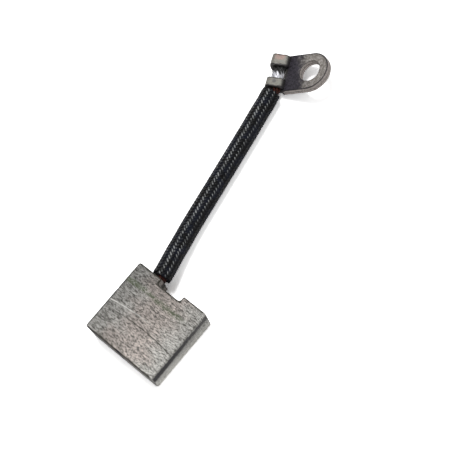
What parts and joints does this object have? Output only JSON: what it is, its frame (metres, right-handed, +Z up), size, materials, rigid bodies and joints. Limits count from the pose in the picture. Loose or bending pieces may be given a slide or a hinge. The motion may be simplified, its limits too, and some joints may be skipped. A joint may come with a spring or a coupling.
{
  "type": "carbon brush",
  "caption": "Rectangular metal-graphite brush block with a finger slot in its end and a sleeved flexible copper shunt crimped into a folded ring terminal.",
  "frame": {"origin": "on the surface that the block lies on, under the middle of the block", "axes": "+X across the block's width, away from the side that the shunt leaves from; +Y from the running face to the shunt end; +Z up, through the block's thickness"},
  "size_m": [0.0311, 0.0852, 0.008],
  "materials": {
    "metal_graphite": "ground grey metal-graphite with a fine speckled grain, short grinding streaks, a faint copper tint in the middle and dark worn edges",
    "tamping_compound": "dark rammed metal-graphite powder",
    "copper_rope": "twisted bare copper strands, dulled, tinned where the terminal grips them",
    "sleeve_braid": "black varnished glass-fibre braid with a few pale flecks",
    "tinned_sheet": "dull tinned copper sheet, mottled grey, rubbed through to the copper on the far crimp band"
  },
  "bodies": {
    "root": {"carbon_block": "metal_graphite", "tamped_filling": "tamping_compound", "copper_shunt": "copper_rope", "braided_sleeve": "sleeve_braid", "ring_terminal": "tinned_sheet"}
  },
  "joints": []
}
